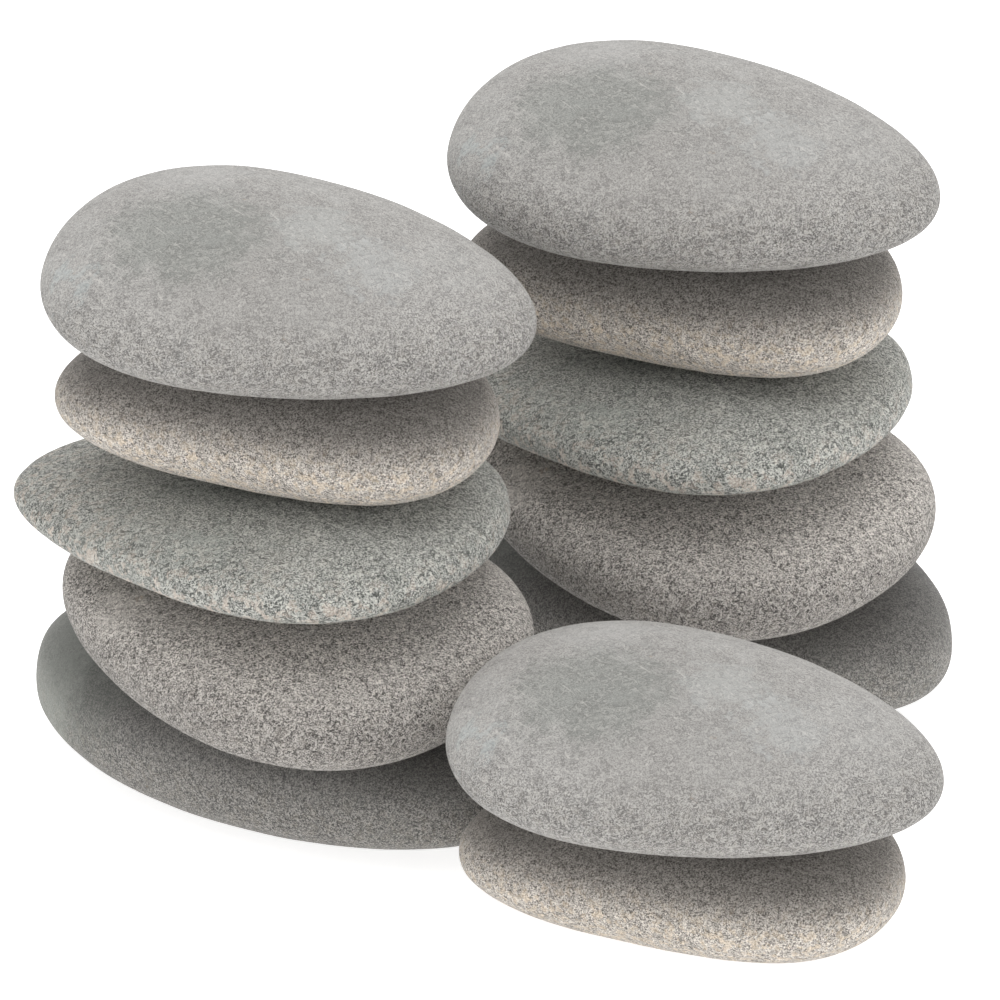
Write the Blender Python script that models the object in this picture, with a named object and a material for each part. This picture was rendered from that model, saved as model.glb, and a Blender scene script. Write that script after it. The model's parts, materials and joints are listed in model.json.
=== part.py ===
"""A set of twelve basalt massage stones, standing in three stacks.

Five shapes of stone are repeated: base, round, green, slim and cap. The left and the rear stack
hold one of each, and the front stack holds a slim stone with a cap stone on it. Each stone is a
loose, separate solid. A stone is lowered straight down until it rests on the one below, and the
rear and the front stack are pushed away from the left one until every stone can be lifted
straight up past its neighbours.

Lengths are in metres, angles in degrees, and +Z is up. The front of the set faces -Y.
"""

import math
from typing import NamedTuple

import bmesh
import bpy
import numpy as np
from mathutils import Matrix, Vector
from mathutils.bvhtree import BVHTree

MM = 0.001

# Mesh fineness: a stone is a cube rounded off, with this many facets along each edge of the cube.
# An even number puts a line of corners along the stone's rim.
FACETS = 8

# Air left between two stones that rest on each other.
REST_GAP = 0.3 * MM

# The layout looks along this many directions when it pushes two stacks apart, and skips those
# that lie almost square to the push, where no finite push would part them.
OUTLINE_DIRECTIONS = 360
LEAST_FACING = 0.05

# A direction this near to straight up or down is taken as a pole of the stone.
POLE_RADIUS = 1e-6


class Stone(NamedTuple):
    """The sizes of one shape of stone, and how it lies in its stack."""

    length: float  # along its own long axis
    width: float  # across it
    crown: float  # height of the top above the rim
    belly: float  # depth of the underside below the rim, before its flat is worn
    flat: float  # how much of the belly's lowest point is worn away to a flat
    egg: float  # share by which the plan widens towards the +X end
    bow: float  # how far both ends of the plan are swept back towards +Y
    wedge: float  # share by which the stone thickens towards the +X end
    plan_power: float  # 2 is an ellipse seen from above, more is squarer
    side_power: float  # 2 is an ellipse seen from the side, more is squarer
    yaw: float  # turn of the long axis about +Z
    lean: float  # tilt about +X, positive lifts the back
    roll: float  # tilt about +Y, positive lowers the right-hand end
    shift: tuple  # how far its centre lies from the stack's centre line, in X and Y
    colour: tuple  # linear base colour
    roughness: float


STONES = {
    "base": Stone(
        length=93.0 * MM,
        width=56.8 * MM,
        crown=13.0 * MM,
        belly=9.9 * MM,
        flat=0.7 * MM,
        egg=-0.03,
        bow=-1.0 * MM,
        wedge=-0.06,
        plan_power=1.92,
        side_power=2.7,
        yaw=-42.7,
        lean=0.0,
        roll=0.0,
        shift=(0.2 * MM, 7.4 * MM),
        colour=(0.185, 0.180, 0.170),
        roughness=0.72,
    ),
    "round": Stone(
        length=76.5 * MM,
        width=59.7 * MM,
        crown=8.9 * MM,
        belly=9.2 * MM,
        flat=0.5 * MM,
        egg=0.18,
        bow=-1.3 * MM,
        wedge=0.13,
        plan_power=2.15,
        side_power=2.41,
        yaw=-43.6,
        lean=7.9,
        roll=-1.1,
        shift=(-1.0 * MM, -3.9 * MM),
        colour=(0.215, 0.205, 0.195),
        roughness=0.85,
    ),
    "green": Stone(
        length=79.2 * MM,
        width=61.4 * MM,
        crown=7.1 * MM,
        belly=6.2 * MM,
        flat=0.5 * MM,
        egg=0.20,
        bow=-5.8 * MM,
        wedge=0.16,
        plan_power=2.09,
        side_power=2.3,
        yaw=-37.0,
        lean=-0.1,
        roll=-2.8,
        shift=(-4.2 * MM, 2.0 * MM),
        colour=(0.230, 0.245, 0.225),
        roughness=0.75,
    ),
    "slim": Stone(
        length=68.0 * MM,
        width=45.1 * MM,
        crown=10.9 * MM,
        belly=11.2 * MM,
        flat=1.0 * MM,
        egg=0.11,
        bow=-5.7 * MM,
        wedge=0.05,
        plan_power=2.25,
        side_power=2.2,
        yaw=-20.7,
        lean=0.0,
        roll=0.0,
        shift=(-1.2 * MM, 0.8 * MM),
        colour=(0.285, 0.260, 0.235),
        roughness=0.88,
    ),
    "cap": Stone(
        length=74.8 * MM,
        width=53.9 * MM,
        crown=13.0 * MM,
        belly=10.4 * MM,
        flat=0.4 * MM,
        egg=-0.27,
        bow=-0.5 * MM,
        wedge=-0.10,
        plan_power=2.18,
        side_power=2.11,
        yaw=-14.2,
        lean=4.2,
        roll=2.9,
        shift=(-0.4 * MM, -8.1 * MM),
        colour=(0.340, 0.335, 0.320),
        roughness=0.70,
    ),
}


class Stack(NamedTuple):
    """The stones of one stack from the table up, and where it stands beside the left stack."""

    kinds: tuple
    bearing: float  # direction from the left stack, in degrees from +X towards +Y
    side_gap: float  # least gap between its stones and the left stack's, seen from above


STACKS = {
    "left": Stack(("base", "round", "green", "slim", "cap"), bearing=0.0, side_gap=0.0),
    "rear": Stack(("base", "round", "green", "slim", "cap"), bearing=37.9, side_gap=2.8 * MM),
    "front": Stack(("slim", "cap"), bearing=-35.9, side_gap=1.2 * MM),
}


def clear_scene():
    for obj in list(bpy.data.objects):
        bpy.data.objects.remove(obj, do_unlink=True)


def signed_power(value, power):
    return math.copysign(abs(value) ** power, value)


def stone_point(stone, direction):
    """The point of a stone's surface that a unit direction maps to, in the stone's own frame."""
    around = math.hypot(direction.x, direction.y)
    if around < POLE_RADIUS:
        across = Vector((0.0, 0.0))
    else:
        # The plan is a superellipse, and the side view scales it from the rim to the poles.
        cosine, sine = direction.x / around, direction.y / around
        power = stone.plan_power
        reach = (abs(cosine) ** power + abs(sine) ** power) ** (-1 / power)
        across = Vector((cosine, sine)) * reach * around ** (2 / stone.side_power)
    height = stone.crown if direction.z > 0 else stone.belly
    rise = signed_power(direction.z, 2 / stone.side_power)
    x = across.x * stone.length / 2
    y = across.y * stone.width / 2 * (1 + stone.egg * across.x) + stone.bow * across.x**2
    z = rise * height * (1 + stone.wedge * across.x)
    return Vector((x, y, max(z, stone.flat - stone.belly)))


def stone_mesh(kind, stone):
    """A pebble, rounded from a cube of square facets so that it has no pinched poles."""
    shape = bmesh.new()
    bmesh.ops.create_cube(shape, size=2.0)
    bmesh.ops.subdivide_edges(shape, edges=shape.edges[:], cuts=FACETS - 1, use_grid_fill=True)
    for vert in shape.verts:
        # The tangent spaces the facets at equal angles, which bare cube steps would not.
        direction = Vector([math.tan(math.radians(45) * step) for step in vert.co])
        vert.co = stone_point(stone, direction.normalized())
    mesh = bpy.data.meshes.new(f"{kind}_stone")
    shape.to_mesh(mesh)
    shape.free()
    mesh.shade_smooth()
    return mesh


def stone_material(kind, stone):
    material = bpy.data.materials.new(f"{kind}_basalt")
    material.use_nodes = True
    shader = material.node_tree.nodes["Principled BSDF"]
    shader.inputs["Base Color"].default_value = (*stone.colour, 1.0)
    shader.inputs["Roughness"].default_value = stone.roughness
    shader.inputs["Metallic"].default_value = 0.0
    return material


def stone_rotation(stone):
    """Turned about +Z first, then leant about +X, then rolled about +Y."""
    yaw = Matrix.Rotation(math.radians(stone.yaw), 4, "Z")
    lean = Matrix.Rotation(math.radians(stone.lean), 4, "X")
    roll = Matrix.Rotation(math.radians(stone.roll), 4, "Y")
    return roll @ lean @ yaw


def placed_points(mesh, matrix):
    return [matrix @ vert.co for vert in mesh.vertices]


def tree_of(mesh, points):
    return BVHTree.FromPolygons(points, [tuple(face.vertices) for face in mesh.polygons])


def drop_to_rest(upper_mesh, upper_points, lower_mesh, lower_points):
    """How far the upper stone, held clear above the lower one, comes down until it rests."""
    down, up = Vector((0, 0, -1)), Vector((0, 0, 1))
    lower_tree = tree_of(lower_mesh, lower_points)
    upper_tree = tree_of(upper_mesh, upper_points)
    falls = [lower_tree.ray_cast(point, down)[3] for point in upper_points]
    rises = [upper_tree.ray_cast(point, up)[3] for point in lower_points]
    return min(distance for distance in falls + rises if distance is not None) - REST_GAP


def stack_matrices(kinds, meshes):
    """The place of each stone in its stack, with the lowest stone's flat on the table."""
    matrices = []
    below = None
    for kind in kinds:
        stone, mesh = STONES[kind], meshes[kind]
        turned = Matrix.Translation((*stone.shift, 0.0)) @ stone_rotation(stone)
        lowest = min(point.z for point in placed_points(mesh, turned))
        if below is None:
            height = -lowest
        else:
            # Held with its lowest point above the highest point of the stone below.
            below_mesh, below_points = below
            held = max(point.z for point in below_points) - lowest + 2 * REST_GAP
            lifted = Matrix.Translation((0, 0, held)) @ turned
            height = held - drop_to_rest(
                mesh, placed_points(mesh, lifted), below_mesh, below_points
            )
        matrices.append(Matrix.Translation((0, 0, height)) @ turned)
        below = mesh, placed_points(mesh, matrices[-1])
    return matrices


def outline_reach(points, normals):
    """How far a stone's plan outline reaches along each of the normals."""
    plan = np.array([(point.x, point.y) for point in points])
    return (plan @ normals.T).max(axis=0)


def distance_clear_of(fixed_outlines, moving_outlines, bearing, side_gap, normals):
    """How far one stack stands from another, so that no stone overhangs a stone of the other."""
    toward = np.array([math.cos(math.radians(bearing)), math.sin(math.radians(bearing))])
    facing = normals @ toward
    ahead = facing > LEAST_FACING
    opposite = np.roll(np.arange(len(normals)), len(normals) // 2)
    distances = []
    for fixed in fixed_outlines:
        for moving in moving_outlines:
            needed = fixed + moving[opposite] + side_gap
            distances.append((needed[ahead] / facing[ahead]).min())
    return max(distances)


def stack_places(matrices, meshes):
    """Each stack's place on the table, with the left one at the origin."""
    angles = np.linspace(0, 2 * math.pi, OUTLINE_DIRECTIONS, endpoint=False)
    normals = np.stack([np.cos(angles), np.sin(angles)], axis=1)
    outlines = {
        name: [
            outline_reach(placed_points(meshes[kind], matrix), normals)
            for kind, matrix in zip(stack.kinds, matrices[name])
        ]
        for name, stack in STACKS.items()
    }
    places = {"left": Vector((0, 0, 0))}
    for name, stack in STACKS.items():
        if name in places:
            continue
        away = distance_clear_of(
            outlines["left"], outlines[name], stack.bearing, stack.side_gap, normals
        )
        bearing = math.radians(stack.bearing)
        places[name] = Vector((math.cos(bearing), math.sin(bearing), 0)) * away
    return places


def plan_centre(points):
    """The middle of the box round some points, on the table."""
    xs, ys = [point.x for point in points], [point.y for point in points]
    return Vector(((min(xs) + max(xs)) / 2, (min(ys) + max(ys)) / 2, 0))


def main():
    clear_scene()
    meshes = {kind: stone_mesh(kind, stone) for kind, stone in STONES.items()}
    for kind, stone in STONES.items():
        meshes[kind].materials.append(stone_material(kind, stone))

    matrices = {name: stack_matrices(stack.kinds, meshes) for name, stack in STACKS.items()}
    places = stack_places(matrices, meshes)
    everywhere = [
        places[name] + point
        for name, stack in STACKS.items()
        for kind, matrix in zip(stack.kinds, matrices[name])
        for point in placed_points(meshes[kind], matrix)
    ]
    centre = plan_centre(everywhere)

    for name, stack in STACKS.items():
        holder = bpy.data.objects.new(f"{name}_stack", None)
        bpy.context.scene.collection.objects.link(holder)
        holder.location = places[name] - centre
        for kind, matrix in zip(stack.kinds, matrices[name]):
            stone = bpy.data.objects.new(f"{name}_{kind}_stone", meshes[kind])
            bpy.context.scene.collection.objects.link(stone)
            stone.parent = holder
            stone.location = matrix.to_translation()
            stone.rotation_euler = matrix.to_euler()


main()
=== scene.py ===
# %% [markdown]
# # Twelve basalt massage stones in three stacks
#
# Massage stones are river pebbles of basalt, rolled smooth by water and then tumbled. The set has
# five shapes of stone. Two stacks hold all five, and a low one in front holds the two palest.
# Every stone is loose, so every stone is a piece of its own that rides on its own body.

import json
import math
from typing import NamedTuple

import bmesh
import bpy
import numpy as np
from mathutils import Matrix, Vector


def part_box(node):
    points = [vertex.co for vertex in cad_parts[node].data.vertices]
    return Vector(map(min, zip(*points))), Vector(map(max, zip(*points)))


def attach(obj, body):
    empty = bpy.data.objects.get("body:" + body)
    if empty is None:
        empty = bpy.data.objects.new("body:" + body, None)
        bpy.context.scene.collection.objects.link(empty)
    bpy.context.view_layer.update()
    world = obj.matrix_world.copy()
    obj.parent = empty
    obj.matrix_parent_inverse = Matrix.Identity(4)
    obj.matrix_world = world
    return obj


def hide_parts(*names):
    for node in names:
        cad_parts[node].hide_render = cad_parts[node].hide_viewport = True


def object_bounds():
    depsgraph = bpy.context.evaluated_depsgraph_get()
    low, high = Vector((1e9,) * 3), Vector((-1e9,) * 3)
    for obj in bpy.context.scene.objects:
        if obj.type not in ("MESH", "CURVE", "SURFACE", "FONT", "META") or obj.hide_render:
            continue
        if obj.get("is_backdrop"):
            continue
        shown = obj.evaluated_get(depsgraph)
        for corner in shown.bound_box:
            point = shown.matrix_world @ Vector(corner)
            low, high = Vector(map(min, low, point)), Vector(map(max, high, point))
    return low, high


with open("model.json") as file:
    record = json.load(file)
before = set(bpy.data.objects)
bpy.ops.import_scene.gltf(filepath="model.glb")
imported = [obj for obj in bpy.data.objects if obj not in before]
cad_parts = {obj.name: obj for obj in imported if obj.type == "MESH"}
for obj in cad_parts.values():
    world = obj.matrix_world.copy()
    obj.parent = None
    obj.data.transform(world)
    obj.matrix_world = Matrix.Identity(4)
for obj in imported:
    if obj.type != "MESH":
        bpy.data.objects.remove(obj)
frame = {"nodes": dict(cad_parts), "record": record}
cad_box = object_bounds()
low, high = (Vector(corner) for corner in cad_box)

# %% [markdown]
# Sizes are thought of in millimetres and written in metres. A node tree needs many nodes, so one
# small function adds a node, sets it up and links it. A colour picked on a screen is sRGB, and the
# renderer works in linear light, so one function turns a hex value into what a socket takes.
# Blender's noise runs from 0 to 1 and lies about its middle value.

# %% Units, colours and nodes
MM = 0.001
NOISE_MIDDLE = 0.5


def linear(hex_colour):
    """The linear RGBA value of an sRGB hex colour."""
    channels = [int(hex_colour[i : i + 2], 16) / 255 for i in (0, 2, 4)]
    curved = [c / 12.92 if c <= 0.04045 else ((c + 0.055) / 1.055) ** 2.4 for c in channels]
    return (*curved, 1.0)


def add(tree, kind, feeds=(), **settings):
    """Adds a node, and feeds its inputs, named or numbered, with values, nodes or their outputs."""
    node = tree.nodes.new(kind)
    for name, value in settings.items():
        setattr(node, name, value)
    live = [socket for socket in node.inputs if socket.enabled]
    for key, value in dict(feeds).items():
        named = [socket for socket in live if socket.name == key]
        socket = live[key] if isinstance(key, int) else named[0]
        if isinstance(value, bpy.types.Node):
            value = next(output for output in value.outputs if output.enabled)
        if isinstance(value, bpy.types.NodeSocket):
            tree.links.new(value, socket)
        else:
            socket.default_value = value
    return node


# %% [markdown]
# ## The camera
# The stones are seen from 24 degrees above the table, with almost no perspective. A long lens far
# away gives that flat view. The picture is 150 mm wide at the middle of the set.

# %% Place the camera
VIEW_WIDTH = 150 * MM
ELEVATION = math.radians(24)
AIM = Vector((2.46 * MM, 0, 46.07 * MM))
LENS = 1500.0  # in millimetres, as is the sensor
SENSOR = 36.0
SIGHT = 20.0  # how far the camera sees, in metres

lens = bpy.data.cameras.new("long_lens")
lens.lens = LENS
lens.sensor_width = SENSOR
lens.clip_end = SIGHT
camera = bpy.data.objects.new("camera", lens)
bpy.context.scene.collection.objects.link(camera)
bpy.context.scene.camera = camera
distance = VIEW_WIDTH * LENS / SENSOR
camera.location = AIM + distance * Vector((0, -math.cos(ELEVATION), math.sin(ELEVATION)))
camera.rotation_euler = (math.pi / 2 - ELEVATION, 0, 0)
print("camera distance in m:", round(distance, 2))

# %% [markdown]
# ## The shape of a stone
# The CAD stones have a few hundred facets, which is right for collision but too coarse to look
# at. A subdivision surface makes them round, but it shrinks inside its cage. So the cage is first
# pushed out, a little at a time, until the round surface passes through every corner that the CAD
# stone has. The size then stays what the CAD says.

# %% Make a smooth cage from a CAD stone
MERGE = 0.005 * MM
FLAT_ENOUGH = math.radians(30)
PUSHES = 8


def cad_cage(node_name):
    """A mesh of the CAD stone's corners, with its triangles joined in pairs to four-sided faces."""
    shape = bmesh.new()
    shape.from_mesh(frame["nodes"][node_name].data)
    bmesh.ops.remove_doubles(shape, verts=shape.verts[:], dist=MERGE)
    bmesh.ops.join_triangles(
        shape,
        faces=shape.faces[:],
        angle_face_threshold=FLAT_ENOUGH,
        angle_shape_threshold=math.pi,
    )
    mesh = bpy.data.meshes.new(f"{node_name}_cage")
    shape.to_mesh(mesh)
    shape.free()
    return mesh


def corners_of(mesh, count):
    """The places of the first few vertices of a mesh, as rows of an array."""
    places = np.zeros(len(mesh.vertices) * 3)
    mesh.vertices.foreach_get("co", places)
    return places.reshape(-1, 3)[:count]


def push_out(cage_object):
    """Moves the cage's corners until its subdivision surface passes through where they were."""
    wanted = corners_of(cage_object.data, len(cage_object.data.vertices))
    corners = wanted.copy()
    surface = cage_object.modifiers.new("limit", "SUBSURF")
    surface.levels = surface.render_levels = 1
    for _ in range(PUSHES):
        graph = bpy.context.evaluated_depsgraph_get()
        rounded = cage_object.evaluated_get(graph).to_mesh()
        miss = wanted - corners_of(rounded, len(wanted))
        corners += miss
        cage_object.data.vertices.foreach_set("co", corners.ravel())
        cage_object.data.update()
    cage_object.modifiers.remove(surface)
    return float(np.linalg.norm(miss, axis=1).max())


# %% [markdown]
# Water rolls a pebble smooth, but never quite even: it keeps broad swells that a hand can feel, a
# slight tooth from its crystals, and small pits where a crystal or a gas bubble came out. Those
# follow one rule for every stone, so Geometry Nodes make them. The tree rounds the cage, throws
# an even grid of points onto it, and moves each point in or out by noise.
#
# The grid starts as a cube's, which has no poles where points would crowd. Taking the tangent of
# each coordinate spaces the points by equal angles, and stretching the ball of them to the stone's
# proportions keeps them even on a flat stone. The place of each point in its stone is stored, so
# that the material's grain lies still on the stone and is the same on both copies of a shape.

# %% Throw an even grid of points onto the stone
TREE_INPUTS = {
    "Cage": "NodeSocketGeometry",
    "Rows": "NodeSocketInt",
    "Middle": "NodeSocketVector",
    "Proportions": "NodeSocketVector",
    "Swell": "NodeSocketFloat",
    "Swell size": "NodeSocketFloat",
    "Tooth": "NodeSocketFloat",
    "Tooth size": "NodeSocketFloat",
    "Pit": "NodeSocketFloat",
    "Pit size": "NodeSocketFloat",
    "Pit share": "NodeSocketFloat",
    "Seed": "NodeSocketFloat",
    "Stone": "NodeSocketMaterial",
}
FAR = 0.2  # well outside any stone, in metres
ROUNDING = 4
EIGHTH_TURN = (math.pi / 4,) * 3


def thrown_grid(tree, given):
    """The grid of points on the rounded cage, and each point's place from the stone's middle."""
    rows = {f"Vertices {axis}": given["Rows"] for axis in "XYZ"}
    cube = add(tree, "GeometryNodeMeshCube", {"Size": (2, 2, 2), **rows})
    start = add(tree, "GeometryNodeInputPosition")
    for operation, feeds in (
        ("MULTIPLY", {1: EIGHTH_TURN}),
        ("TANGENT", {}),
        ("NORMALIZE", {}),
        ("MULTIPLY", {1: given["Proportions"]}),
        ("NORMALIZE", {}),
    ):
        start = add(tree, "ShaderNodeVectorMath", {0: start, **feeds}, operation=operation)
    inward = add(tree, "ShaderNodeVectorMath", {0: start, "Scale": -1.0}, operation="SCALE")
    away = add(tree, "ShaderNodeVectorMath", {0: start, "Scale": FAR}, operation="SCALE")
    outside = add(tree, "ShaderNodeVectorMath", {0: away, 1: given["Middle"]}, operation="ADD")
    rounded = add(
        tree, "GeometryNodeSubdivisionSurface", {"Mesh": given["Cage"], "Level": ROUNDING}
    )
    hit = add(
        tree,
        "GeometryNodeRaycast",
        {
            "Target Geometry": rounded,
            "Source Position": outside,
            "Ray Direction": inward,
            "Ray Length": FAR,
        },
    ).outputs
    landed = add(
        tree, "GeometryNodeSetPosition", {"Geometry": cube, "Position": hit["Hit Position"]}
    )
    here = add(tree, "GeometryNodeInputPosition")
    place = add(tree, "ShaderNodeVectorMath", {0: here, 1: given["Middle"]}, operation="SUBTRACT")
    stored = add(
        tree,
        "GeometryNodeStoreNamedAttribute",
        {"Geometry": landed, "Name": "stone_place", "Value": place},
        data_type="FLOAT_VECTOR",
        domain="POINT",
    )
    return stored, place


# %% [markdown]
# Swells and tooth go both ways from the surface. A pit only goes in: it is a bowl in the middle
# of a Voronoi cell, and each cell's own random value says whether it has one.

# %% Work out how far each point moves
SWELL_DETAIL = 1.0
TOOTH_DETAIL = 2.0
PIT_FLOOR = 0.10
PIT_RIM = 0.45


def worn_height(tree, given, place):
    """How far each point goes out along its normal."""
    heights = []
    for kind, detail in (("Swell", SWELL_DETAIL), ("Tooth", TOOTH_DETAIL)):
        scale = add(tree, "ShaderNodeMath", {0: 1.0, 1: given[f"{kind} size"]}, operation="DIVIDE")
        noise = add(
            tree,
            "ShaderNodeTexNoise",
            {"Vector": place, "W": given["Seed"], "Scale": scale, "Detail": detail},
            noise_dimensions="4D",
        )
        both_ways = add(
            tree, "ShaderNodeMath", {0: noise, 1: NOISE_MIDDLE}, operation="SUBTRACT"
        )
        heights.append(
            add(tree, "ShaderNodeMath", {0: both_ways, 1: given[kind]}, operation="MULTIPLY")
        )
    scale = add(tree, "ShaderNodeMath", {0: 1.0, 1: given["Pit size"]}, operation="DIVIDE")
    cell = add(
        tree,
        "ShaderNodeTexVoronoi",
        {"Vector": place, "W": given["Seed"], "Scale": scale},
        voronoi_dimensions="4D",
    ).outputs
    bowl = add(
        tree,
        "ShaderNodeMapRange",
        {"Value": cell["Distance"], "From Min": PIT_RIM, "From Max": PIT_FLOOR},
        interpolation_type="SMOOTHSTEP",
    )
    luck = add(tree, "ShaderNodeSeparateXYZ", {"Vector": cell["Color"]})
    is_pit = add(tree, "ShaderNodeMath", {0: luck, 1: given["Pit share"]}, operation="LESS_THAN")
    hole = add(tree, "ShaderNodeMath", {0: bowl, 1: is_pit}, operation="MULTIPLY")
    depth = add(tree, "ShaderNodeMath", {0: hole, 1: given["Pit"]}, operation="MULTIPLY")
    uneven = add(tree, "ShaderNodeMath", dict(enumerate(heights)), operation="ADD")
    return add(tree, "ShaderNodeMath", {0: uneven, 1: depth}, operation="SUBTRACT")


# %% Build the Geometry Nodes tree for a stone
def river_stone_tree():
    tree = bpy.data.node_groups.new("river_stone", "GeometryNodeTree")
    for name, kind in TREE_INPUTS.items():
        tree.interface.new_socket(name, in_out="INPUT", socket_type=kind)
    tree.interface.new_socket("Stone mesh", in_out="OUTPUT", socket_type="NodeSocketGeometry")
    given = add(tree, "NodeGroupInput").outputs
    grid, place = thrown_grid(tree, given)
    height = worn_height(tree, given, place)
    normal = add(tree, "GeometryNodeInputNormal")
    shift = add(tree, "ShaderNodeVectorMath", {0: normal, "Scale": height}, operation="SCALE")
    worn = add(tree, "GeometryNodeSetPosition", {"Geometry": grid, "Offset": shift})
    smooth = add(tree, "GeometryNodeSetShadeSmooth", {"Geometry": worn})
    real = add(tree, "GeometryNodeRealizeInstances", {"Geometry": smooth})
    done = add(tree, "GeometryNodeSetMaterial", {"Geometry": real, "Material": given["Stone"]})
    add(tree, "NodeGroupOutput", {"Stone mesh": done})
    return tree


stone_tree = river_stone_tree()
print("nodes in the tree:", len(stone_tree.nodes))

# %% [markdown]
# ## The five basalts
# Basalt is a dark lava with crystals too small to name by eye: pale feldspar and dark pyroxene in
# a grey ground. Tumbled and left uncoated, it is matt, and it looks paler than it does wet or
# oiled. All five finishes are built up the same way: crystals like salt and pepper, rubbed away on
# top, then clouds and patches where the surface is weathered, pale streaks, a crust towards the
# lower edge, flecks of rust, and cracks. One pale patch on the base stone is painted light instead.
# What differs is how much of each there is.


# %% Describe a basalt
class Patch(NamedTuple):
    """A broad patch of another tone. Its place, from the stone's middle, and its size are in mm."""

    tint: str
    at: tuple
    size: float
    amount: float


class Basalt(NamedTuple):
    """Colours are sRGB hex values, sizes are in millimetres, and amounts go from 0 to 1."""

    deep: str  # the rubbed ground where it is darkest
    pale: str  # and where it is palest
    pepper: str  # pyroxene crystals and cracks
    salt: str  # feldspar crystals
    grain: float  # size of a crystal
    worn: float  # how much the crystals are rubbed away on top
    cloud: str  # weathered clouds all over
    cloud_size: float
    cloud_amount: float
    # The next two are painted light and shade: they scale the colour brighter or darker on top and
    # at the lower edge.
    top_painted_shading: float  # how bright the top is beside the colours above
    foot_painted_shading: float  # and the lower edge
    crust: str  # what the lower edge is crusted with
    crust_size: float
    crust_amount: float
    streak_turn: float  # direction of the streaks, in degrees about +Z
    streak_amount: float
    crack_size: float  # how far apart the cracks are
    crack_amount: float
    patches: tuple
    roughness: float


BASALTS = {
    "base": Basalt(
        deep="7a7875",
        pale="8f8d89",
        pepper="4b4947",
        salt="bdb9b3",
        grain=0.24,
        worn=0.30,
        cloud="8d8f89",
        cloud_size=14.0,
        cloud_amount=0.2,
        top_painted_shading=0.55,
        foot_painted_shading=0.83,
        crust="a39b8c",
        crust_size=1.2,
        crust_amount=0.2,
        streak_turn=-43.0,
        streak_amount=0.08,
        crack_size=1.1,
        crack_amount=0.3,
        patches=(
            Patch("757a72", (-26.0, 5.0, 6.0), 24.0, 0.5),
            # Painted light: this pale patch on the base's left end stands in for light that falls
            # there.
            Patch("b4b8b0", (-38.0, 12.0, 2.0), 22.0, 0.5),
        ),
        roughness=0.72,
    ),
    "round": Basalt(
        deep="817d79",
        pale="94908b",
        pepper="403d3a",
        salt="c6c1bb",
        grain=0.23,
        worn=0.0,
        cloud="b0aca7",
        cloud_size=9.0,
        cloud_amount=0.2,
        top_painted_shading=1.48,
        foot_painted_shading=0.95,
        crust="aca59c",
        crust_size=1.4,
        crust_amount=0.25,
        streak_turn=-62.0,
        streak_amount=0.15,
        crack_size=0.9,
        crack_amount=0.65,
        patches=(
            Patch("6b6763", (-16.0, 6.0, 6.0), 20.0, 0.3),
            Patch("bab5af", (-27.0, -4.0, 4.0), 7.0, 0.4),
            Patch("b2ada7", (30.0, 6.0, 2.0), 12.0, 0.25),
        ),
        roughness=0.85,
    ),
    "green": Basalt(
        deep="7f807c",
        pale="969692",
        pepper="3f423e",
        salt="d2d2cb",
        grain=0.23,
        worn=0.15,
        cloud="767b75",
        cloud_size=5.5,
        cloud_amount=0.3,
        top_painted_shading=1.12,
        foot_painted_shading=1.0,
        crust="d6c6b8",
        crust_size=1.7,
        crust_amount=0.6,
        streak_turn=-37.0,
        streak_amount=0.05,
        crack_size=1.0,
        crack_amount=0.7,
        patches=(
            Patch("6f7570", (-2.0, 6.0, 4.0), 24.0, 0.35),
            Patch("a6a8a2", (-24.0, -16.0, 3.0), 18.0, 0.35),
            Patch("9fa49e", (-9.0, -19.0, 4.0), 7.0, 0.55),
            Patch("b9b0a6", (4.0, -24.0, -1.0), 11.0, 0.15),
        ),
        roughness=0.75,
    ),
    "slim": Basalt(
        deep="99948e",
        pale="aca6a0",
        pepper="544f4a",
        salt="d0cac2",
        grain=0.23,
        worn=0.10,
        cloud="a6a09a",
        cloud_size=12.0,
        cloud_amount=0.25,
        top_painted_shading=0.59,
        foot_painted_shading=1.34,
        crust="c8b79f",
        crust_size=1.2,
        crust_amount=0.45,
        streak_turn=-20.0,
        streak_amount=0.06,
        crack_size=0.9,
        crack_amount=0.45,
        patches=(
            Patch("8b8681", (12.0, 0.0, 8.0), 22.0, 0.3),
        ),
        roughness=0.88,
    ),
    "cap": Basalt(
        deep="949290",
        pale="a5a3a0",
        pepper="625f5c",
        salt="cac7c2",
        grain=0.22,
        worn=0.52,
        cloud="b9bab8",
        cloud_size=13.0,
        cloud_amount=0.18,
        top_painted_shading=1.08,
        foot_painted_shading=0.87,
        crust="b0aaa1",
        crust_size=1.3,
        crust_amount=0.25,
        streak_turn=-58.0,
        streak_amount=0.45,
        crack_size=1.1,
        crack_amount=0.6,
        patches=(
            Patch("85827e", (-2.0, -14.0, 6.0), 28.0, 0.3),
            Patch("737973", (-15.0, -7.0, 8.0), 18.0, 0.42),
            Patch("b4b6b4", (4.0, -5.0, 9.0), 9.5, 0.4),
            Patch("b4b6b5", (13.0, -14.0, 8.0), 8.5, 0.4),
            Patch("b0b8b8", (-31.0, -10.0, 3.0), 6.0, 0.45),
            Patch("b4b3b1", (-14.0, 12.0, 11.0), 10.0, 0.35),
        ),
        roughness=0.70,
    ),
}

# %% [markdown]
# Each layer is a mask and a colour, and noise makes most masks, because nothing on a pebble has a
# straight edge. A painted texture could be wrapped round each stone instead, but it would show a
# seam, while noise goes right through the stone, as real grain does. A ramp turns noise into a
# mask: a wide ramp gives a patch with a soft edge, and a narrow one gives a fleck. The scale of a
# pattern is one divided by its size in metres. All layers of one material read the same fields.

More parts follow.
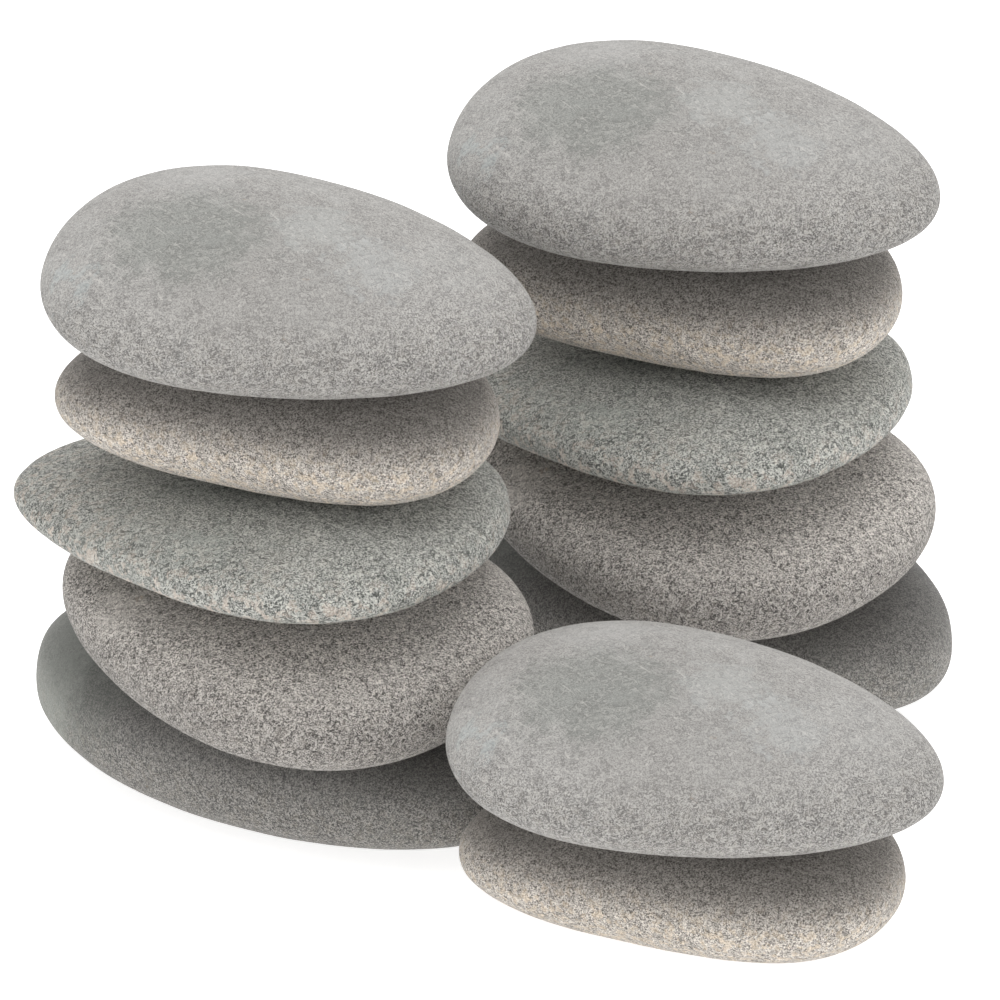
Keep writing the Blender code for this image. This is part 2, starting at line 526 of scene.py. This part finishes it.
# %% Name what the layers read
class Fields(NamedTuple):
    """Nodes and sockets of one material's tree."""

    own: object  # the place on the stone, from its middle
    place: object  # the same, shifted so that no two shapes share a pattern
    mottle: object  # a noise of a few millimetres, which breaks things up
    low_down: object  # 0 on top and 1 at the lower edge
    shown: object  # how much of the crystals is left


# %% [markdown]
# Weather leaves clouds all over a stone. A patch is one broad mark at a known place: the distance
# from its middle, made ragged by the mottle.

# %% Mask the clouds and the patches
CLOUD_RAMP = (0.48, 0.66)
RAGGED = 22.0
PATCH_EDGE = (0.85, 0.45)


def clouds_and_patches(tree, look, fields):
    """Pairs of a mask and a colour, from the lowest layer up."""
    cloud = add(
        tree,
        "ShaderNodeTexNoise",
        {
            "Vector": fields.place,
            "Scale": 1 / (look.cloud_size * MM),
            "Detail": 8.0,
            "Roughness": 0.68,
            "Distortion": 0.5,
        },
    )
    cloud_mask = add(
        tree,
        "ShaderNodeMapRange",
        {
            "Value": cloud,
            "From Min": CLOUD_RAMP[0],
            "From Max": CLOUD_RAMP[1],
            "To Max": look.cloud_amount,
        },
        interpolation_type="SMOOTHSTEP",
    )
    layers = [(cloud_mask, look.cloud)]
    for patch in look.patches:
        middle = tuple(along * MM for along in patch.at)
        off = add(
            tree, "ShaderNodeVectorMath", {0: fields.own, 1: middle}, operation="DISTANCE"
        ).outputs["Value"]
        ragged = add(
            tree,
            "ShaderNodeMath",
            {0: fields.mottle, 1: RAGGED * MM, 2: off},
            operation="MULTIPLY_ADD",
        )
        outer, inner = (MM * (RAGGED * NOISE_MIDDLE + edge * patch.size) for edge in PATCH_EDGE)
        patch_mask = add(
            tree,
            "ShaderNodeMapRange",
            {"Value": ragged, "From Min": outer, "From Max": inner, "To Max": patch.amount},
            interpolation_type="SMOOTHSTEP",
        )
        layers.append((patch_mask, patch.tint))
    return layers


# %% [markdown]
# Stones that rubbed past each other left pale streaks, which are noise drawn out along one
# direction. Dust and lime make a crust of small pieces, thicker towards the lower edge.

# %% Mask the streaks and the crust
STREAK_LENGTH = 9.0
STREAK_WIDTH = 0.45
STREAK_RAMP = (0.62, 0.70)
CRUST_RAMP = (0.51, 0.57)


def streaks_and_crust(tree, look, fields):
    """Pairs of a mask and a colour, from the lowest layer up."""
    turned = add(
        tree,
        "ShaderNodeMapping",
        {
            "Vector": fields.place,
            "Rotation": (0, 0, math.radians(look.streak_turn)),
            "Scale": (STREAK_LENGTH * MM, STREAK_WIDTH * MM, STREAK_WIDTH * MM),
        },
        vector_type="TEXTURE",
    )
    streak = add(
        tree,
        "ShaderNodeTexNoise",
        {"Vector": turned, "Scale": 1.0, "Detail": 4.0, "Distortion": 0.5},
    )
    streak_mask = add(
        tree,
        "ShaderNodeMapRange",
        {
            "Value": streak,
            "From Min": STREAK_RAMP[0],
            "From Max": STREAK_RAMP[1],
            "To Max": look.streak_amount,
        },
        interpolation_type="SMOOTHSTEP",
    )
    crust = add(
        tree,
        "ShaderNodeTexNoise",
        {
            "Vector": fields.place,
            "Scale": 1 / (look.crust_size * MM),
            "Detail": 4.0,
            "Roughness": 0.65,
        },
    )
    crust_piece = add(
        tree,
        "ShaderNodeMapRange",
        {
            "Value": crust,
            "From Min": CRUST_RAMP[0],
            "From Max": CRUST_RAMP[1],
            "To Max": look.crust_amount,
        },
        interpolation_type="SMOOTHSTEP",
    )
    crust_mask = add(
        tree, "ShaderNodeMath", {0: crust_piece, 1: fields.low_down}, operation="MULTIPLY"
    )
    return [(streak_mask, look.salt), (crust_mask, look.crust)]


# %% [markdown]
# The crystals of basalt are mostly 0.1 to 0.5 mm long. Each cell of a fine Voronoi pattern is a
# crystal with a lot of its own, and a fine noise gathers pale and dark ones in clumps: a high sum
# is salt, and a low one is pepper. A coarser Voronoi pattern adds the few bigger crystals. Crystals
# under 0.15 mm are too fine to show here, so none is drawn.

# %% Mask the crystals
CELL = 0.75
LOT = 0.42
REACH = 0.18
BIG_CELL = 1.7
BIG_SHARE = 0.10
BIG_EDGE = (0.60, 0.40)
BIG_FADE = 0.2


def crystals(tree, look, fields):
    """Pairs of a mask and a colour, and the fine relief that the crystals make."""
    small = add(
        tree,
        "ShaderNodeTexVoronoi",
        {"Vector": fields.place, "Scale": 1 / (CELL * look.grain * MM)},
    ).outputs["Color"]
    lot = add(tree, "ShaderNodeSeparateXYZ", {"Vector": small})
    clump = add(
        tree,
        "ShaderNodeTexNoise",
        {"Vector": fields.place, "Scale": 1 / (look.grain * MM), "Detail": 2.0, "Roughness": 0.7},
    )
    crystal = add(tree, "ShaderNodeMath", {0: lot, 1: LOT, 2: clump}, operation="MULTIPLY_ADD")
    even = NOISE_MIDDLE + LOT / 2
    big = add(
        tree,
        "ShaderNodeTexVoronoi",
        {"Vector": fields.place, "Scale": 1 / (BIG_CELL * look.grain * MM)},
    ).outputs
    big_lot = add(tree, "ShaderNodeSeparateXYZ", {"Vector": big["Color"]})
    inside = add(
        tree,
        "ShaderNodeMapRange",
        {"Value": big["Distance"], "From Min": BIG_EDGE[0], "From Max": BIG_EDGE[1]},
    )
    layers = []
    for reach, rare, tint in (
        (REACH, 1 - BIG_SHARE, look.salt),
        (-REACH, BIG_SHARE, look.pepper),
    ):
        chosen = add(
            tree,
            "ShaderNodeMapRange",
            {"Value": crystal, "From Min": even, "From Max": even + reach},
        )
        lucky = add(
            tree,
            "ShaderNodeMapRange",
            {"Value": big_lot, "From Min": rare, "From Max": rare + BIG_FADE * reach},
        )
        single = add(tree, "ShaderNodeMath", {0: lucky, 1: inside}, operation="MULTIPLY")
        either = add(tree, "ShaderNodeMath", {0: chosen, 1: single}, operation="MAXIMUM")
        mask = add(tree, "ShaderNodeMath", {0: either, 1: fields.shown}, operation="MULTIPLY")
        layers.append((mask, tint))
    relief = add(tree, "ShaderNodeMath", {0: crystal, 1: fields.shown}, operation="MULTIPLY")
    return layers, relief


# %% [markdown]
# Iron in the stone has rusted here and there, in flecks of a millimetre or two. A crack is where a
# noise is just under its middle value, which draws a thin winding line, and the pale lip of the
# crack is where the noise is just over it. The mottle breaks the lines up.

# %% Mask the rust and the cracks
RUST = "a5845a"
RUST_AMOUNT = 0.45
RUST_SIZE = 5.0
RUST_RAMP = (0.67, 0.74)
LIP = 0.034
LIP_EDGE = (1.5, 0.5)
BROKEN_RAMP = (0.60, 0.48)


def rust_and_cracks(tree, look, fields):
    """Pairs of a mask and a colour, and the mask of the cracks, which go in."""
    iron = add(
        tree,
        "ShaderNodeTexNoise",
        {"Vector": fields.place, "Scale": 1 / (RUST_SIZE * MM), "Detail": 6.0, "Roughness": 0.75},
    )
    rust_mask = add(
        tree,
        "ShaderNodeMapRange",
        {
            "Value": iron,
            "From Min": RUST_RAMP[0],
            "From Max": RUST_RAMP[1],
            "To Max": RUST_AMOUNT,
        },
    )
    layers = [(rust_mask, RUST)]

    winding = add(
        tree,
        "ShaderNodeTexNoise",
        {
            "Vector": fields.place,
            "Scale": 1 / (look.crack_size * MM),
            "Detail": 2.0,
            "Roughness": 0.6,
            "Distortion": 0.8,
        },
    )
    unbroken = add(
        tree,
        "ShaderNodeMapRange",
        {"Value": fields.mottle, "From Min": BROKEN_RAMP[0], "From Max": BROKEN_RAMP[1]},
    )
    kept = add(tree, "ShaderNodeMath", {0: unbroken, 1: fields.shown}, operation="MULTIPLY")
    for side, tint in ((LIP, look.salt), (-LIP, look.pepper)):
        aim = NOISE_MIDDLE + side
        off = add(tree, "ShaderNodeMath", {0: winding, 1: aim}, operation="SUBTRACT")
        off = add(tree, "ShaderNodeMath", {0: off}, operation="ABSOLUTE")
        line = add(
            tree,
            "ShaderNodeMapRange",
            {
                "Value": off,
                "From Min": LIP_EDGE[0] * LIP,
                "From Max": LIP_EDGE[1] * LIP,
                "To Max": look.crack_amount,
            },
        )
        mask = add(tree, "ShaderNodeMath", {0: line, 1: kept}, operation="MULTIPLY")
        layers.append((mask, tint))
    return layers, mask


# %% [markdown]
# The material mottles the ground between two greys and lays all the layers on it. Its colour is
# then scaled brighter or darker from the top to the lower edge: this is painted light and shade,
# which stands in for how light falls on the top and on the lower edge of each stone.
# Tumbled basalt is matt: it scatters light evenly, so its roughness is high and varies a little.

# %% Build a basalt material
EDGE_TOP = 6.0
EDGE_FOOT = -3.0
MOTTLE_SIZE = 3.5
GROUND_RAMP = (0.35, 0.65)
SHIFT = Vector((0.31, 0.17, 0.23))
RELIEF = 0.10 * MM
UNEVEN_GLOSS = 0.1


def stone_fields(tree, look, seed):
    """The fields that all the layers of one material read."""
    own = add(tree, "ShaderNodeAttribute", attribute_name="stone_place").outputs["Vector"]
    place = add(tree, "ShaderNodeVectorMath", {0: own, 1: seed * SHIFT}, operation="ADD")
    mottle = add(
        tree,
        "ShaderNodeTexNoise",
        {"Vector": place, "Scale": 1 / (MOTTLE_SIZE * MM), "Detail": 5.0, "Roughness": 0.7},
    )
    up = add(tree, "ShaderNodeSeparateXYZ", {"Vector": own}).outputs["Z"]
    low_down = add(
        tree,
        "ShaderNodeMapRange",
        {"Value": up, "From Min": EDGE_TOP * MM, "From Max": EDGE_FOOT * MM},
        interpolation_type="SMOOTHSTEP",
    )
    shown = add(tree, "ShaderNodeMapRange", {"Value": low_down, "To Min": 1 - look.worn})
    return Fields(own, place, mottle, low_down, shown)


def basalt_material(name, look, seed):
    material = bpy.data.materials.new(name)
    material.use_nodes = True
    tree = material.node_tree
    tree.nodes.clear()
    fields = stone_fields(tree, look, seed)
    ground = add(
        tree,
        "ShaderNodeMapRange",
        {"Value": fields.mottle, "From Min": GROUND_RAMP[0], "From Max": GROUND_RAMP[1]},
    )
    crystal_layers, tooth = crystals(tree, look, fields)
    crack_layers, crack = rust_and_cracks(tree, look, fields)
    layers = [
        (ground, look.pale),
        *crystal_layers,
        *clouds_and_patches(tree, look, fields),
        *streaks_and_crust(tree, look, fields),
        *crack_layers,
    ]
    colour = linear(look.deep)
    for mask, tint in layers:
        feeds = {"Factor": mask, "A": colour, "B": linear(tint)}
        colour = add(tree, "ShaderNodeMix", feeds, data_type="RGBA")
    # Painted light and shade: the colour is made brighter or darker from the top to the lower edge.
    tone = add(
        tree,
        "ShaderNodeMapRange",
        {"Value": fields.low_down, "To Min": look.top_painted_shading, "To Max": look.foot_painted_shading},
    )
    colour_with_painted_shading = add(tree, "ShaderNodeVectorMath", {0: colour, "Scale": tone}, operation="SCALE")

    relief = add(tree, "ShaderNodeMath", {0: tooth, 1: crack}, operation="SUBTRACT")
    bump = add(tree, "ShaderNodeBump", {"Height": relief, "Distance": RELIEF, "Strength": 1.0})
    matt = add(
        tree,
        "ShaderNodeMapRange",
        {
            "Value": fields.mottle,
            "To Min": look.roughness - UNEVEN_GLOSS,
            "To Max": look.roughness + UNEVEN_GLOSS,
        },
    )
    stone = add(
        tree,
        "ShaderNodeBsdfPrincipled",
        {
            "Base Color": colour_with_painted_shading,
            "Roughness": matt,
            "Normal": bump,
            "IOR": 1.5,
            "Diffuse Roughness": 0.6,
        },
    )
    add(tree, "ShaderNodeOutputMaterial", {"Surface": stone})
    return material


# %% Make the five materials
materials = {
    kind: basalt_material(f"{kind}_basalt_tumbled", look, seed)
    for seed, (kind, look) in enumerate(BASALTS.items())
}
print("materials:", sorted(materials))

# %% [markdown]
# ## Make the stones
# One stone of each shape is made where the left stack has it. The other stacks hold the same
# shapes, so their stones are copies, moved by the distance between the two CAD stones' boxes.


# %% Make one stone of each shape
class Wear(NamedTuple):
    """How far water has left a stone's surface from smooth, in millimetres."""

    swell: float
    swell_size: float
    tooth: float
    tooth_size: float
    pit: float
    pit_size: float
    pit_share: float


WEAR = {
    "base": Wear(0.5, 17.0, 0.05, 1.4, 0.06, 3.0, 0.12),
    "round": Wear(0.5, 14.0, 0.08, 1.2, 0.10, 2.6, 0.22),
    "green": Wear(0.5, 12.0, 0.07, 1.4, 0.08, 2.8, 0.18),
    "slim": Wear(0.5, 13.0, 0.07, 1.3, 0.09, 2.6, 0.20),
    "cap": Wear(0.35, 16.0, 0.04, 1.5, 0.06, 3.2, 0.10),
}
ROWS = 84
SEED_STEP = 3.7


def tree_values(kind, node_name, seed):
    """What the tree's inputs are set to for one stone."""
    lowest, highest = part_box(node_name)
    wear = WEAR[kind]
    return {
        "Rows": ROWS,
        "Middle": (lowest + highest) / 2,
        "Proportions": (highest - lowest) / 2,
        "Swell": wear.swell * MM,
        "Swell size": wear.swell_size * MM,
        "Tooth": wear.tooth * MM,
        "Tooth size": wear.tooth_size * MM,
        "Pit": wear.pit * MM,
        "Pit size": wear.pit_size * MM,
        "Pit share": wear.pit_share,
        "Seed": seed * SEED_STEP,
        "Stone": materials[kind],
    }


def make_stone(kind, seed):
    """A plain mesh of one stone, where the left stack has it."""
    node_name = f"left_{kind}_stone"
    maker = bpy.data.objects.new(f"{kind}_maker", cad_cage(node_name))
    bpy.context.scene.collection.objects.link(maker)
    miss = push_out(maker)
    modifier = maker.modifiers.new("river_stone", "NODES")
    modifier.node_group = stone_tree
    identifiers = {item.name: item.identifier for item in stone_tree.interface.items_tree}
    for name, value in tree_values(kind, node_name, seed).items():
        modifier[identifiers[name]] = value
    graph = bpy.context.evaluated_depsgraph_get()
    mesh = bpy.data.meshes.new_from_object(maker.evaluated_get(graph), depsgraph=graph)
    mesh.name = f"{kind}_stone_mesh"
    bpy.data.objects.remove(maker)
    print(kind, "triangles:", 2 * len(mesh.polygons), "cage misses by mm:", round(miss / MM, 4))
    return mesh


shapes = {kind: make_stone(kind, seed) for seed, kind in enumerate(BASALTS)}

# %% Stand the stones in their stacks
for body, names in frame["record"]["behaviour"]["bodies"].items():
    stack, kind = body.split("_")
    node_name = names[0]
    mesh = shapes[kind].copy()
    here = sum(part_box(node_name), Vector()) / 2
    made = sum(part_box(f"left_{kind}_stone"), Vector()) / 2
    mesh.transform(Matrix.Translation(here - made))
    stone = bpy.data.objects.new(f"{stack}_{kind}_pebble", mesh)
    bpy.context.scene.collection.objects.link(stone)
    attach(stone, body)
    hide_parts(node_name)
print("stones:", len(frame["nodes"]))

# %% [markdown]
# ## The floor and the light
# The stones stand on a plain white sweep under soft studio light. A bright room all round, a large
# lamp overhead and a weaker one to the front right give almost no shadow, only the dark where one
# stone hides another from the light. The white floor lights the lower edges from below.

# %% Lay the floor
FLOOR_HALF = 3.0
FLOOR_GLOW = 0.75
floor_mesh = bpy.data.meshes.new("floor")
corners = [(x * FLOOR_HALF, y * FLOOR_HALF, 0.0) for x, y in ((-1, -1), (1, -1), (1, 1), (-1, 1))]
floor_mesh.from_pydata(corners, [], [(0, 1, 2, 3)])
floor = bpy.data.objects.new("floor", floor_mesh)
bpy.context.scene.collection.objects.link(floor)
paper = bpy.data.materials.new("white_paper_sweep")
paper.use_nodes = True
paper.node_tree.nodes.clear()
paper_surface = add(
    paper.node_tree,
    "ShaderNodeBsdfPrincipled",
    {
        "Base Color": linear("dcdcdc"),
        "Roughness": 0.9,
        "Specular IOR Level": 0.2,
        "Emission Color": (1, 1, 1, 1),
        "Emission Strength": FLOOR_GLOW,
    },
)
add(paper.node_tree, "ShaderNodeOutputMaterial", {"Surface": paper_surface})
floor_mesh.materials.append(paper)
floor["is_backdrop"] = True
print("floor side in m:", 2 * FLOOR_HALF)

# %% Light the set
class Lamp(NamedTuple):
    """A square lamp that faces the stones. Lengths are in metres."""

    place: tuple
    side: float
    watts: float


ROOM_LIGHT = 0.84
LAMPS = {
    "overhead": Lamp(place=(0.0, -0.35, 1.4), side=1.2, watts=7.8),
    "front_right": Lamp(place=(0.8, -1.3, 0.5), side=1.0, watts=3.5),
}

world = bpy.data.worlds.new("bright_room")
world.use_nodes = True
world.node_tree.nodes.clear()
room = add(world.node_tree, "ShaderNodeBackground", {"Color": (1, 1, 1, 1), "Strength": ROOM_LIGHT})
add(world.node_tree, "ShaderNodeOutputWorld", {"Surface": room})
bpy.context.scene.world = world

middle = (low + high) / 2
for name, lamp in LAMPS.items():
    light = bpy.data.lights.new(name, "AREA")
    light.size = lamp.side
    light.energy = lamp.watts
    holder = bpy.data.objects.new(name, light)
    bpy.context.scene.collection.objects.link(holder)
    holder.location = lamp.place
    holder.rotation_euler = (middle - Vector(lamp.place)).to_track_quat("-Z", "Y").to_euler()
bpy.context.scene.view_settings.view_transform = "Standard"
print("lamps:", sorted(LAMPS))

# %% [markdown]
# The size of the stones as seen is printed.

# %% Print the size as seen
visual_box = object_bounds()
sides = Vector(visual_box[1]) - Vector(visual_box[0])
print("size as seen in m:", [round(side, 4) for side in sides])
